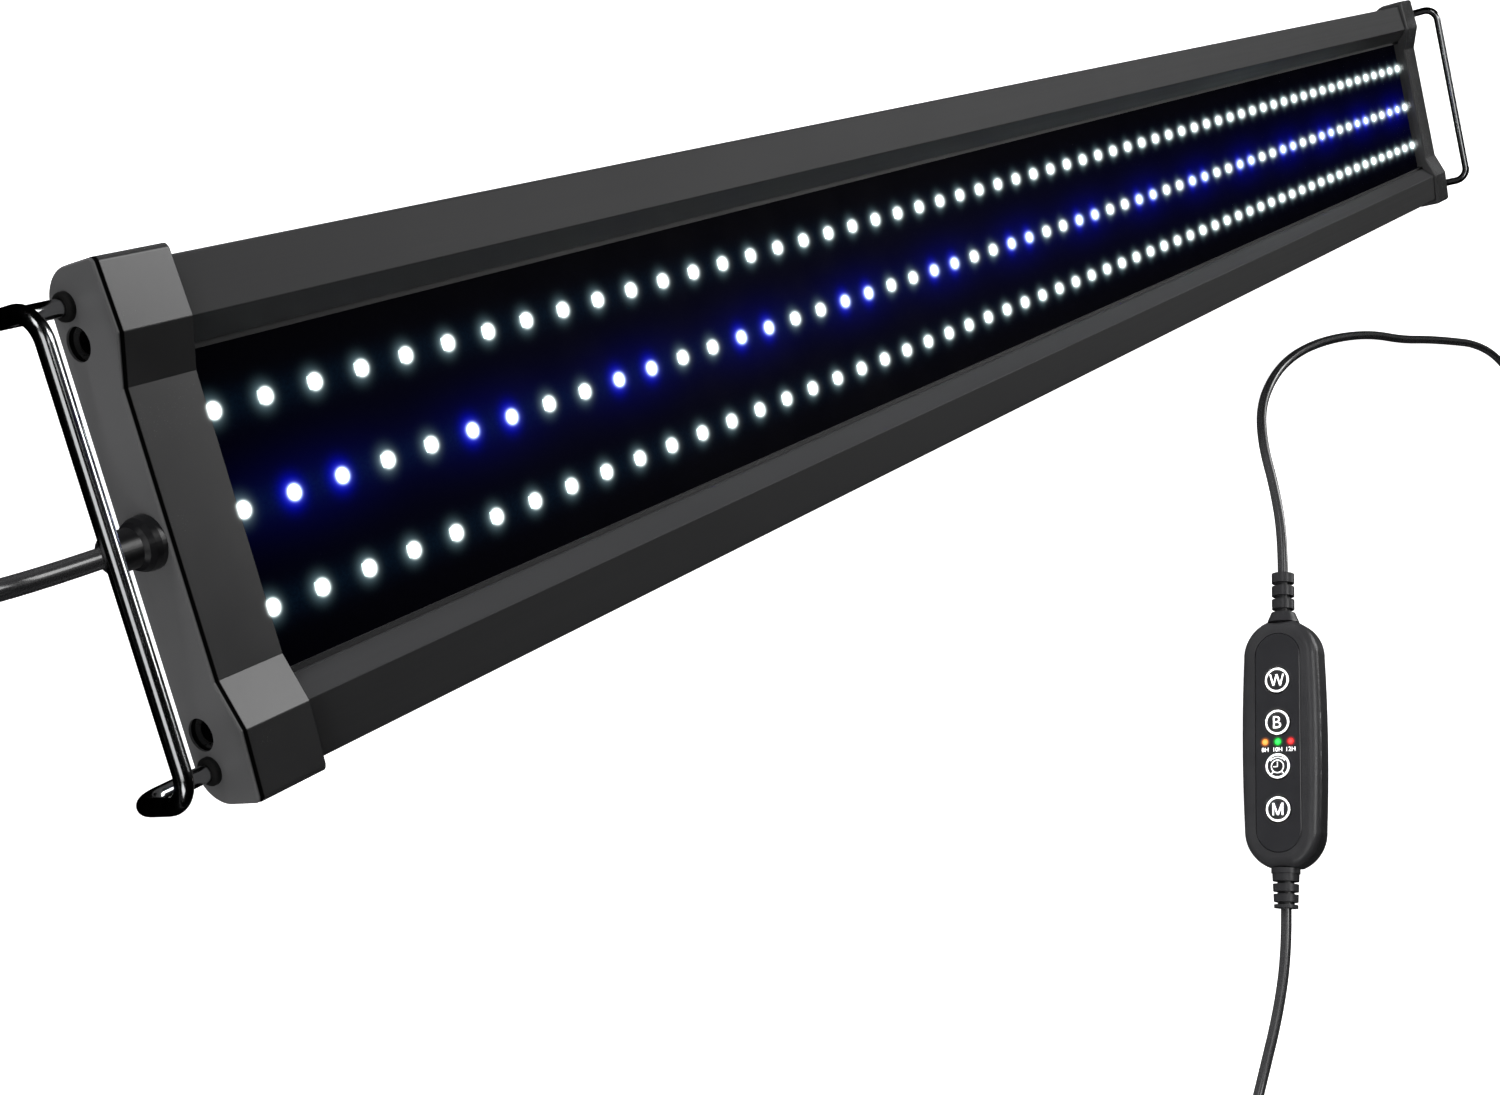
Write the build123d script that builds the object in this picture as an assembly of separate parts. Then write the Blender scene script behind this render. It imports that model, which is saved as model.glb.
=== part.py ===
"""LED aquarium light: an extruded bar with three rows of LEDs, sliding wire feet and a corded controller.

The bar lies on its back with the LEDs facing +Z. X runs along the bar, and its cord leaves the -X (left) end.
The origin is the middle of the bar's footprint, on the surface that it lies on. Millimetres.
"""

import math
import os

from build123d import *

# ---- driving dimensions: the bar -------------------------------------------------------------------------
LED_PITCH = 15.0
LEDS_PER_ROW = 60
ROW_SPACING = 22.2
LED_SIDE = 3.5
LED_BASE_HEIGHT = 0.6
LED_DOME_RADIUS = 1.5
LED_DOME_HEIGHT = 0.3

CAP_END_X = 467.0  # outer faces of the end plates
PLATE_THICKNESS = 1.2
CAP_INNER_X = 447.0  # where the collars stop and the bare housing starts
WEB_X = 460.0  # inner side of a collar's closed web
HOUSING_END_X = 459.0
BOARD_END_X = 446.5

HOUSING_HALF_WIDTH = 56.0
HOUSING_BACK_Z = 1.5
HOUSING_EDGE_Z = 16.1
RIDGE_Y = 42.5
RIDGE_Z = 17.5
RECESS_Y = 37.2  # half width of the recess for board and lens
LEDGE_Y = 35.9  # half width between the ledges that hold the board down
SEAT_Z = 8.0
BOARD_THICKNESS = 1.6
LENS_BOTTOM_Z = 10.8
LENS_TOP_Z = 12.0
WALL = 1.5

CAP_HALF_WIDTH = 58.5
CAP_EDGE_Z = 18.0
CAP_RIDGE_Z = 19.0
CAP_FLAT_Y = 31.5
CAP_FLAT_Z = 15.0
CAP_CORNER_RADIUS = 8.5
FIT = 0.15  # gap between the housing and the collar around it

SCREW_Y = 42.5
SCREW_Z = 5.8
SCREW_LENGTH = 15.0
SCREW_SEAT_X = 463.0

# ---- driving dimensions: the wire feet -------------------------------------------------------------------
WIRE_RADIUS = 2.0
WIRE_BEND = 7.0
ARM_Y = 50.5
ARM_Z = 5.6
CROSSBAR_X = 488.0
CROSSBAR_Z = 25.0
ARM_INNER_X = 347.0
GUIDE_LENGTH = 10.0

# ---- driving dimensions: gland and cords -----------------------------------------------------------------
GLAND_Z = 8.5
GLAND_NOSE_X = 477.5
LEAD_Z = 4.9  # height of the inner wires inside the housing's hollow
CORD_RADIUS = 2.25

# ---- driving dimensions: the controller ------------------------------------------------------------------
# Its own frame: x across, y along towards its upper end, z out of its face, origin in the middle of its back.
BOX_LENGTH = 110.9
BOX_WIDTH = 35.7
BOX_PARTING = 7.0
BOX_FRONT = 14.4
BOX_WALL = 1.7
FACE_WIDTH = 20.3
FACE_LENGTH = 96.3
FACE_THICKNESS = 1.0
BUTTONS = {"white_button": 27.1, "blue_button": 8.3, "timer_button": -10.9, "mode_button": -29.7}
BUTTON_RADIUS = 5.7
BUTTON_HOLE_RADIUS = 6.05
INDICATORS = {"orange_indicator": -5.8, "green_indicator": 0.0, "red_indicator": 5.8}
INDICATOR_Y = -0.2
PCB_BOTTOM = 5.0
PCB_THICKNESS = 1.2
SWITCH_HEIGHT = 2.8
CASE_SCREW_Y = 42.0
BOX_FLAT_END = 54.3  # the shells' round ends are cut flat here for the strain reliefs
UPPER_RELIEF_LENGTH = 22.6
LOWER_RELIEF_LENGTH = 17.0

# The controller stands on its long edge on the floor, with its face towards the bar's left end.
BOX_PLACE = (62.0, -246.0, BOX_WIDTH / 2)
BOX_TURN = 60.0  # degrees from +X to its long axis

# ---- driving dimensions: coil and plug -------------------------------------------------------------------
COIL_X, COIL_Y = 592.0, -232.0
COIL_MEAN_RADIUS = 25.0
COIL_INNER_RADIUS = 18.2
COIL_OUTER_RADIUS = 31.8
COIL_BOTTOM, COIL_TOP = 0.6, 9.6
PLUG_X = COIL_X + 29.5
PLUG_Z = 5.5
PLUG_REAR_Y = COIL_Y - 26.0

# Routes of the free cords, chosen point by point. Each leaves the controller straight.
CORD_STRAIGHT = 18.0
LIGHT_CORD_START = (-GLAND_NOSE_X, 0.0, GLAND_Z)
LIGHT_CORD_MIDDLE = [
    (-494.0, 0.0, GLAND_Z),
    (-515.0, 1.5, 10.2),
    (-538.0, -4.0, 6.8),
    (-560.0, -18.0, 3.0),
    (-577.0, -46.0, 2.4),
    (-577.5, -74.0, 2.4),
    (-565.0, -101.0, 2.4),
    (-541.0, -123.0, 2.4),
    (-505.0, -141.0, 2.4),
    (-461.0, -158.0, 2.4),
    (-414.0, -184.0, 2.4),
    (-366.0, -205.0, 2.4),
    (-318.0, -239.0, 2.4),
    (-268.0, -262.0, 2.4),
    (-220.0, -291.0, 2.4),
    (-176.0, -324.0, 2.4),
    (-136.0, -356.0, 2.4),
    (-97.0, -385.0, 2.4),
    (-62.0, -399.0, 2.4),
    (-33.0, -389.0, 3.6),
    (-12.0, -368.0, 8.0),
    (4.0, -345.0, 14.4),
]
SUPPLY_CORD_MIDDLE = [
    (121.0, -144.5, 14.4),
    (135.0, -126.0, 7.6),
    (153.0, -111.5, 3.2),
    (178.0, -102.0, 2.4),
    (208.0, -98.0, 2.4),
    (246.0, -99.0, 2.4),
    (290.0, -104.0, 2.4),
    (335.0, -112.0, 2.4),
    (381.0, -124.0, 2.4),
    (427.0, -133.0, 2.4),
    (472.0, -143.0, 2.4),
    (515.0, -153.0, 2.4),
    (556.0, -168.0, 2.4),
    (589.0, -190.0, 2.6),
]
SUPPLY_CORD_END = (609.0, -209.5, 2.9)


# ---- helpers ---------------------------------------------------------------------------------------------
def mirrored(half):
    """A closed outline from its +Y half, which runs from the bottom up."""
    return half + [(-y, z) for y, z in reversed(half)]


def outline(points):
    return make_face(Polyline(*points, close=True))


def rounded(face, corners):
    """The face with the corners at the given places rounded; corners maps (y, z) to a radius."""
    for (y, z), radius in corners.items():
        near = [v for v in face.vertices() if abs(abs(v.X) - y) < 1e-6 and abs(v.Y - z) < 1e-6]
        face = fillet(near, radius)
    return face


def along_x(face, x0, x1):
    """A prism with the given Y-Z section from x0 to x1."""
    return extrude(Plane.YZ.offset(x0) * face, amount=x1 - x0)


def block(x0, x1, y0, y1, z0, z1):
    """A box between two corners."""
    return Pos((x0 + x1) / 2, (y0 + y1) / 2, (z0 + z1) / 2) * Box(x1 - x0, y1 - y0, z1 - z0)


def rod_x(x0, x1, y, z, radius):
    """A cylinder along X."""
    return along_x(Pos(y, z) * Circle(radius), min(x0, x1), max(x0, x1))


def turned(outline_points, plane):
    """A solid of revolution about the plane's own y axis, from (radius, along) points."""
    return revolve(plane * outline(outline_points), Axis(plane.origin, plane.y_dir))


def to_right(shape):
    """The +X end's twin of a piece made at the -X end."""
    return mirror(shape, about=Plane.YZ)


def group(solids):
    return Compound(children=[s for part in solids for s in part.solids()])


def cord(name, points):
    """A tube along straight runs joined by arcs as large as the runs allow."""
    corners = [Vector(*p) for p in points]
    runs = [b - a for a, b in zip(corners, corners[1:])]
    radii = []
    for before, after in zip(runs, runs[1:]):
        turn = math.radians(before.get_angle(after))
        radii.append(0.45 * min(before.length, after.length) / math.tan(turn / 2))
    path = FilletPolyline(*corners, radius=radii)
    tube = sweep(Plane(origin=corners[0], z_dir=runs[0]) * Circle(CORD_RADIUS), path=path)
    expected = math.pi * CORD_RADIUS**2 * path.length
    print(f"{name}: {path.length:.0f} mm, volume {tube.volume / expected:.4f} of section times length")
    print(f"{name}: arc radii", [round(r) for r in radii])
    return tube


# ---- the bar ---------------------------------------------------------------------------------------------
def housing_section():
    half = [
        (HOUSING_HALF_WIDTH, HOUSING_BACK_Z),
        (HOUSING_HALF_WIDTH, HOUSING_EDGE_Z),
        (RIDGE_Y, RIDGE_Z),
        (RECESS_Y, LENS_TOP_Z),
        (RECESS_Y, LENS_BOTTOM_Z),
        (LEDGE_Y, LENS_BOTTOM_Z),
        (LEDGE_Y, SEAT_Z + BOARD_THICKNESS + 0.1),
        (RECESS_Y, SEAT_Z + BOARD_THICKNESS + 0.1),
        (RECESS_Y, SEAT_Z),
    ]
    corners = {
        (HOUSING_HALF_WIDTH, HOUSING_BACK_Z): 4.0,
        (HOUSING_HALF_WIDTH, HOUSING_EDGE_Z): 1.0,
        (RIDGE_Y, RIDGE_Z): 0.5,
    }
    return rounded(outline(mirrored(half)), corners)


def housing():
    """The extrusion: closed side channels for the wire feet, a flat hollow under the board, screw ports."""
    floor_z = HOUSING_BACK_Z + WALL
    channel = [
        (38.8, floor_z),
        (HOUSING_HALF_WIDTH - WALL, floor_z),
        (HOUSING_HALF_WIDTH - WALL, HOUSING_EDGE_Z - WALL),
        (RIDGE_Y + 0.5, RIDGE_Z - WALL - 0.1),
        (38.8, 11.6),
    ]
    hollow = [(36.0, floor_z), (36.0, SEAT_Z - WALL)]
    section = housing_section() - outline(mirrored(hollow))
    for side in (1, -1):
        face = outline([(side * y, z) for y, z in channel])
        port = Pos(side * SCREW_Y, SCREW_Z) * Circle(3.3)
        rib = Pos(side * 40.5, SCREW_Z) * Rectangle(4.0, 2.0)
        section = section - (face - port - rib)
        section = section - Pos(side * SCREW_Y, SCREW_Z) * Circle(1.5)
    body = along_x(section, -HOUSING_END_X, HOUSING_END_X)
    wire_slot = block(-440.0, -424.0, -6.0, 6.0, SEAT_Z - WALL - 0.2, SEAT_Z + 0.2)
    lead_notch = block(-HOUSING_END_X - 1, -450.0, -4.0, 4.0, SEAT_Z - WALL - 0.2, SEAT_Z + 0.2)
    return body - wire_slot - lead_notch


def led_places():
    """(x, y, colour) of each LED. The middle row alternates two blue, two white."""
    for row, y in enumerate((ROW_SPACING, 0.0, -ROW_SPACING)):
        for i in range(LEDS_PER_ROW):
            x = (i - (LEDS_PER_ROW - 1) / 2) * LED_PITCH
            yield x, y, "blue" if row == 1 and i % 4 in (1, 2) else "white"


def leds(colour):
    """LED packages with a low round dome, all of one colour."""
    base_z = SEAT_Z + BOARD_THICKNESS
    base = Pos(0, 0, base_z + LED_BASE_HEIGHT / 2) * Box(LED_SIDE, LED_SIDE, LED_BASE_HEIGHT)
    dome_z = base_z + LED_BASE_HEIGHT + LED_DOME_HEIGHT / 2
    package = base + Pos(0, 0, dome_z) * Cylinder(LED_DOME_RADIUS, LED_DOME_HEIGHT)
    return group([Pos(x, y, 0) * package for x, y, c in led_places() if c == colour])


def led_board():
    return block(-BOARD_END_X, BOARD_END_X, -36.9, 36.9, SEAT_Z, SEAT_Z + BOARD_THICKNESS)


def cover_lens():
    return block(-BOARD_END_X, BOARD_END_X, -37.0, 37.0, LENS_BOTTOM_Z, LENS_TOP_Z)


def cap_section(inset=0.0):
    half = [
        (CAP_HALF_WIDTH, 0.0),
        (CAP_HALF_WIDTH, CAP_EDGE_Z),
        (RIDGE_Y, CAP_RIDGE_Z),
        (CAP_FLAT_Y, CAP_FLAT_Z),
    ]
    corners = {
        (CAP_HALF_WIDTH, 0.0): CAP_CORNER_RADIUS,
        (CAP_HALF_WIDTH, CAP_EDGE_Z): 1.5,
        (RIDGE_Y, CAP_RIDGE_Z): 1.0,
    }
    face = rounded(outline(mirrored(half)), corners)
    return offset(face, amount=-inset) if inset else face


def end_cap(with_gland):
    """The collar at the -X end: a ring around the housing's end, closed by a web."""
    pocket_half = [
        (HOUSING_HALF_WIDTH + FIT, HOUSING_BACK_Z - FIT),
        (HOUSING_HALF_WIDTH + FIT, HOUSING_EDGE_Z + FIT),
        (RIDGE_Y, RIDGE_Z + FIT),
        (RECESS_Y - 0.3, LENS_TOP_Z + FIT),
        (LEDGE_Y - 0.2, LENS_TOP_Z + FIT),
        (LEDGE_Y - 0.2, SEAT_Z + FIT),
    ]
    outer_x = CAP_END_X - PLATE_THICKNESS
    collar = along_x(cap_section(), -outer_x, -CAP_INNER_X)
    collar = chamfer(collar.edges().group_by(Axis.X)[-1], 0.6)
    collar = chamfer(collar.edges().group_by(Axis.X)[0], 0.15)
    collar = collar - along_x(outline(mirrored(pocket_half)), -WEB_X, -CAP_INNER_X + 1)
    for side in (1, -1):
        collar = collar - rod_x(-outer_x - 1, -WEB_X + 1, side * ARM_Y, ARM_Z, 2.65)
        collar = collar - rod_x(-outer_x - 1, -WEB_X + 1, side * SCREW_Y, SCREW_Z, 1.7)
        collar = collar - rod_x(-outer_x - 1, -SCREW_SEAT_X, side * SCREW_Y, SCREW_Z, 3.6)
    if with_gland:
        collar = collar - rod_x(-outer_x - 1, -WEB_X + 1, 0, GLAND_Z, 4.05)
        collar = collar - block(-outer_x + 1.5, -WEB_X + 1, -16.0, 16.0, 3.0, 14.0)
        collar = collar - block(-WEB_X - 1, -CAP_INNER_X + 1, -4.0, 4.0, 3.0, 10.0)
    return collar


def end_plate(with_gland):
    """The flat outer face of the -X cap, set in a little from the collar's edge."""
    plate = along_x(cap_section(0.15), -CAP_END_X, -CAP_END_X + PLATE_THICKNESS)
    plate = chamfer(plate.edges().group_by(Axis.X)[0], 0.3)
    for side in (1, -1):
        plate = plate - rod_x(-CAP_END_X - 1, -CAP_END_X + 4, side * ARM_Y, ARM_Z, 2.65)
        plate = plate - rod_x(-CAP_END_X - 1, -CAP_END_X + 4, side * SCREW_Y, SCREW_Z, 3.75)
    if with_gland:
        plate = plate - rod_x(-CAP_END_X - 1, -CAP_END_X + 4, 0, GLAND_Z, 4.05)
    return plate


def gasket():
    """The seal between the housing's -X end and the collar's web."""
    half = [
        (HOUSING_HALF_WIDTH - 0.2, HOUSING_BACK_Z + 0.2),
        (HOUSING_HALF_WIDTH - 0.2, HOUSING_EDGE_Z - 0.2),
        (RIDGE_Y, RIDGE_Z - 0.2),
        (RECESS_Y + 0.2, LENS_TOP_Z),
        (RECESS_Y + 0.2, SEAT_Z - 0.1),
    ]
    seal = along_x(outline(mirrored(half)), -WEB_X, -HOUSING_END_X)
    seal = seal - block(-WEB_X - 1, -HOUSING_END_X + 1, -35.5, 35.5, 3.2, 6.4)
    seal = seal - block(-WEB_X - 1, -HOUSING_END_X + 1, -4.0, 4.0, 6.0, 9.0)
    for side in (1, -1):
        y0, y1 = sorted((side * 39.0, side * 54.2))
        seal = seal - block(-WEB_X - 1, -HOUSING_END_X + 1, y0, y1, 3.2, 12.0)
    return seal


def cap_screws():
    """Two countersunk-depth pan-head screws at the -X end, with cross recesses."""
    seat_x = -SCREW_SEAT_X
    screws = []
    for side in (1, -1):
        y = side * SCREW_Y
        head = rod_x(seat_x - 2.0, seat_x, y, SCREW_Z, 2.8)
        head = fillet(head.edges().group_by(Axis.X)[0], 0.8)
        cross = block(seat_x - 2.5, seat_x - 1.1, y - 1.6, y + 1.6, SCREW_Z - 0.4, SCREW_Z + 0.4)
        cross += block(seat_x - 2.5, seat_x - 1.1, y - 0.4, y + 0.4, SCREW_Z - 1.6, SCREW_Z + 1.6)
        screws.append(head - cross + rod_x(seat_x, seat_x + SCREW_LENGTH, y, SCREW_Z, 1.45))
    return group(screws)


def bushes():
    """Flanged rubber bushes in the -X end, with a running fit on the wires."""
    made = []
    for side in (1, -1):
        y = side * ARM_Y
        sleeve = rod_x(-CAP_END_X, -CAP_END_X + 6.0, y, ARM_Z, 2.6)
        flange = rod_x(-CAP_END_X - 1.6, -CAP_END_X, y, ARM_Z, 3.2)
        flange = fillet(flange.edges().group_by(Axis.X)[0], 0.9)
        bore = rod_x(-CAP_END_X - 3, -CAP_END_X + 8, y, ARM_Z, WIRE_RADIUS + 0.05)
        made.append(sleeve + flange - bore)
    return group(made)


def bracket():
    """The wire foot at the -X end: two arms, two short legs and the crossbar, bent from one wire."""
    path = FilletPolyline(
        (-ARM_INNER_X, ARM_Y, ARM_Z),
        (-CROSSBAR_X, ARM_Y, ARM_Z),
        (-CROSSBAR_X, ARM_Y, CROSSBAR_Z),
        (-CROSSBAR_X, -ARM_Y, CROSSBAR_Z),
        (-CROSSBAR_X, -ARM_Y, ARM_Z),
        (-ARM_INNER_X, -ARM_Y, ARM_Z),
        radius=WIRE_BEND,
    )
    start = Plane(origin=(-ARM_INNER_X, ARM_Y, ARM_Z), z_dir=(-1, 0, 0))
    return sweep(start * Circle(WIRE_RADIUS), path=path)


def guides():
    """Plastic blocks on the inner ends of the wires, which run in the housing's side channels."""
    made = []
    for side in (1, -1):
        y = side * ARM_Y
        guide = block(-ARM_INNER_X - GUIDE_LENGTH, -ARM_INNER_X, y - 3.0, y + 3.0, ARM_Z - 2.3, ARM_Z + 2.9)
        guide = fillet(guide.edges().filter_by(Axis.X), 0.8)
        made.append(guide - rod_x(-ARM_INNER_X - 20, -ARM_INNER_X + 5, y, ARM_Z, WIRE_RADIUS + 0.01))
    return group(made)


def cable_gland():
    """Domed gland with a cylindrical nose; it is moulded onto the cord."""
    plane = Plane(origin=(-CAP_END_X, 0, GLAND_Z), x_dir=(0, 0, 1), z_dir=(0, 1, 0))
    nose = GLAND_NOSE_X - CAP_END_X
    outward = -1 if plane.y_dir.X > 0 else 1
    half = [(0, -4.6), (3.95, -4.6), (3.95, 0), (6.0, 0), (6.0, 1.2), (5.8, 2.6), (5.2, 3.9)]
    half += [(4.4, 4.8), (4.4, nose - 0.6), (4.0, nose), (0, nose)]
    return turned([(r, outward * a) for r, a in half], plane)


def gland_locknut():
    seat_x = -(CAP_END_X - PLATE_THICKNESS) + 1.5
    nut = along_x(Pos(0, GLAND_Z) * RegularPolygon(5.2, 6), seat_x, seat_x + 1.3)
    return nut - rod_x(seat_x - 1, seat_x + 3, 0, GLAND_Z, 4.0)


def inner_leads():
    """Two insulated wires from the gland, down through the housing's hollow, to the board's terminal."""
    made = []
    for y in (-1.4, 1.4):
        path = FilletPolyline(
            (-CAP_END_X + 4.6, y, GLAND_Z),
            (-460.2, y, GLAND_Z),
            (-452.0, y, LEAD_Z),
            (-436.0, y, LEAD_Z),
            radius=3.0,
        )
        start = Plane(origin=path @ 0, z_dir=(1, 0, 0))
        made.append(sweep(start * Circle(0.7), path=path))
    return group(made)


def board_terminal():
    return block(-436.0, -428.0, -4.0, 4.0, 3.9, SEAT_Z)


# ---- the controller --------------------------------------------------------------------------------------
def box_outline(inset=0.0):
    """Its outline: full round ends and slightly bulging sides."""
    half_width, straight, end = BOX_WIDTH / 2, 38.0, BOX_LENGTH / 2
    neck = half_width - 0.9
    right = ThreePointArc((neck, -straight), (half_width, 0), (neck, straight))
    top = ThreePointArc((neck, straight), (0, end), (-neck, straight))
    left = ThreePointArc((-neck, straight), (-half_width, 0), (-neck, -straight))
    bottom = ThreePointArc((-neck, -straight), (0, -end), (neck, -straight))
    face = make_face([right, top, left, bottom])
    face = face & Rectangle(BOX_WIDTH + 2, 2 * BOX_FLAT_END)
    return offset(face, amount=-inset) if inset else face


def pill(width, length, z0, z1):
    """An upright slab with full round ends, along y."""
    face = Rot(0, 0, 90) * SlotOverall(length, width)
    return extrude(Pos(0, 0, z0) * face, amount=z1 - z0)


def post(x, y, z0, z1, radius):
    return extrude(Pos(x, y, z0) * Circle(radius), amount=z1 - z0)


def relief_hole(shell):
    """The shell with the openings for the two strain reliefs and room for their inner flanges."""
    for side in (1, -1):
        hole = Pos(0, side * BOX_FLAT_END, BOX_PARTING) * Rot(90, 0, 0) * Cylinder(4.05, 14)
        room = Pos(0, side * (BOX_FLAT_END - 5.6), BOX_PARTING) * Rot(90, 0, 0) * Cylinder(5.3, 3.0)
        shell = shell - hole - room
    return shell


def controller_front():
    shell = extrude(Pos(0, 0, BOX_PARTING) * box_outline(), amount=BOX_FRONT - BOX_PARTING)
    shell = fillet(shell.edges().group_by(Axis.Z)[-1], 4.6)
    inner = box_outline(BOX_WALL)
    shell = shell - extrude(Pos(0, 0, BOX_PARTING) * inner, amount=BOX_FRONT - BOX_PARTING - 4.2)
    shell = shell - pill(24.0, 99.0, BOX_PARTING, BOX_FRONT - 2.2)
    shell = shell - pill(FACE_WIDTH + 0.5, FACE_LENGTH + 0.5, BOX_FRONT - 0.8, BOX_FRONT + 1)
    for y in BUTTONS.values():
        shell = shell - post(0, y, BOX_PARTING, BOX_FRONT + 1, BUTTON_HOLE_RADIUS)
    for x in INDICATORS.values():
        shell = shell - post(x, INDICATOR_Y, BOX_PARTING, BOX_FRONT + 1, 1.35)
    for y in (CASE_SCREW_Y, -CASE_SCREW_Y):
        shell = shell + (post(0, y, BOX_PARTING, BOX_FRONT - 1.5, 2.6) - post(0, y, 0, 11.5, 0.9))
    return relief_hole(shell)


def controller_back():
    shell = extrude(box_outline(), amount=BOX_PARTING)
    shell = fillet(shell.edges().group_by(Axis.Z)[0], 2.6)
    shell = shell - extrude(Pos(0, 0, BOX_WALL) * box_outline(BOX_WALL + 1.0), amount=BOX_PARTING)
    for y in (CASE_SCREW_Y, -CASE_SCREW_Y):
        shell = shell + post(0, y, BOX_WALL - 0.2, BOX_PARTING, 2.9)
        shell = shell - post(0, y, -1, BOX_PARTING + 1, 1.15) - post(0, y, -1, 2.2, 2.1)
    for x in (-7.0, 7.0):
        for y in (-33.0, 33.0):
            shell = shell + post(x, y, BOX_WALL - 0.2, PCB_BOTTOM, 1.3)
    return relief_hole(shell)


def controller_face():
    plate = pill(FACE_WIDTH, FACE_LENGTH, BOX_FRONT - 0.8, BOX_FRONT - 0.8 + FACE_THICKNESS)
    plate = chamfer(plate.edges().group_by(Axis.Z)[-1], 0.25)
    for y in BUTTONS.values():
        plate = plate - post(0, y, 0, BOX_FRONT + 2, BUTTON_HOLE_RADIUS)
    for x in INDICATORS.values():
        plate = plate - post(x, INDICATOR_Y, 0, BOX_FRONT + 2, 1.35)
    return plate


def button(y):
    """A round key with a slightly crowned top, a flange that keeps it in, and a stem over its switch."""
    top = BOX_FRONT + 0.7
    stem_end = PCB_BOTTOM + PCB_THICKNESS + SWITCH_HEIGHT + 0.6
    profile = [
        (0, stem_end),
        (1.5, stem_end),
        (1.5, 10.9),
        (6.8, 10.9),
        (6.8, 12.0),
        (BUTTON_RADIUS, 12.0),
        (BUTTON_RADIUS, top - 0.35),
        (BUTTON_RADIUS - 0.35, top - 0.05),
        (3.0, top + 0.1),
        (0, top + 0.15),
    ]
    return Pos(0, y, 0) * revolve(Plane.XZ * outline(profile), Axis.Z)


def indicator(x):
    pipe = post(x, INDICATOR_Y, 7.2, BOX_FRONT + 0.35, 1.3)
    return fillet(pipe.edges().group_by(Axis.Z)[-1], 0.3)


def controller_board():
    return Pos(0, 0, PCB_BOTTOM + PCB_THICKNESS / 2) * Box(19.0, 74.0, PCB_THICKNESS)


def tact_switches():
    base = PCB_BOTTOM + PCB_THICKNESS
    made = []
    for y in BUTTONS.values():
        body = Pos(0, y, base + 1.0) * Box(6.0, 6.0, 2.0)
        made.append(body + post(0, y, base + 2.0, base + SWITCH_HEIGHT, 1.7))
    return group(made)


def indicator_chips():
    top = PCB_BOTTOM + PCB_THICKNESS
    return group([Pos(x, INDICATOR_Y, top + 0.4) * Box(2.0, 1.6, 0.8) for x in INDICATORS.values()])


def controller_screws():
    made = []
    for y in (CASE_SCREW_Y, -CASE_SCREW_Y):
        head = post(0, y, 0.7, 2.2, 1.9)
        slot = Pos(0, y, 0.7) * Box(2.4, 0.6, 1.2) + Pos(0, y, 0.7) * Box(0.6, 2.4, 1.2)
        made.append(head - slot + post(0, y, 2.2, 11.0, 0.85))
    return group(made)


def relief(profile):
    """A strain relief turned about y from (radius, distance past the shell's end) points, flange included."""
    end = BOX_FLAT_END
    inner = [(0, -6.6), (5.0, -6.6), (5.0, -4.6), (4.0, -4.6), (4.0, 0.05)]
    points = inner + profile + [(0, profile[-1][1])]
    face = make_face(Polyline(*[(r, end + a) for r, a in points], close=True))
    return Pos(0, 0, BOX_PARTING) * revolve(face, Axis.Y)


def upper_strain_relief():
    """A flared skirt, then three rings joined by thin necks."""
    profile = [(7.0, 0.05), (6.7, 1.0), (5.2, 4.6)]
    at = 4.6
    for _ in range(3):
        profile += [(3.4, at), (3.4, at + 1.7), (4.9, at + 1.7), (4.9, at + 6.0)]
        at += 6.0
    return relief(profile)


def lower_strain_relief():
    """A plain collar, then a sleeve that tapers in three steps."""
    profile = [(6.15, 0.05), (6.15, 2.3), (5.75, 2.4)]
    at = 2.4
    for radius in (5.6, 5.4, 5.2):
        profile += [(radius, at + 3.2), (3.6, at + 3.2), (3.6, at + 4.4), (radius - 0.1, at + 4.4)]
        at += 4.4
    profile += [(5.1, at + 1.4)]
    return mirror(relief(profile), about=Plane.XZ)


def box_plane():
    """The plane that puts the controller on the floor: its x is up, its z is the way it faces."""
    turn = math.radians(BOX_TURN)
    outward = Vector(-math.sin(turn), math.cos(turn), 0)
    back = Vector(*BOX_PLACE) - outward * (BOX_FRONT / 2)
    return Plane(origin=back, x_dir=(0, 0, 1), z_dir=outward)


def relief_end(past_the_end, upper):
    """The point in the row's frame at the tip of a strain relief."""
    y = BOX_FLAT_END + past_the_end
    local = Vector(0, y if upper else -y, BOX_PARTING)
    point = box_plane().from_local_coords(local)
    return (point.X, point.Y, point.Z)


# ---- cords, coil and plug --------------------------------------------------------------------------------
def light_cord():
    last_run = [relief_end(LOWER_RELIEF_LENGTH + past, upper=False) for past in (CORD_STRAIGHT, 0.0)]
    return cord("light_cord", [LIGHT_CORD_START, *LIGHT_CORD_MIDDLE, *last_run])


def supply_cord():
    first_run = [relief_end(UPPER_RELIEF_LENGTH + past, upper=True) for past in (0.0, CORD_STRAIGHT)]
    return cord("supply_cord", [*first_run, *SUPPLY_CORD_MIDDLE, SUPPLY_CORD_END])


def supply_coil():
    """The outer shape of six turns in two layers."""
    ring = post(COIL_X, COIL_Y, COIL_BOTTOM, COIL_TOP, COIL_OUTER_RADIUS)
    ring = ring - post(COIL_X, COIL_Y, COIL_BOTTOM - 1, COIL_TOP + 1, COIL_INNER_RADIUS)
    return fillet(ring.edges().filter_by(GeomType.CIRCLE), 1.5)


def cord_tie():
    """A flat strap round the bundle at the coil's -X side."""
    x0, x1 = COIL_X - COIL_OUTER_RADIUS - 0.8, COIL_X - COIL_INNER_RADIUS + 0.8
    band = block(x0, x1, COIL_Y - 2.0, COIL_Y + 2.0, 0.0, COIL_TOP + 0.6)
    return band - block(x0 + 0.6, x1 - 0.6, COIL_Y - 3.0, COIL_Y + 3.0, COIL_BOTTOM, COIL_TOP)


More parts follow.
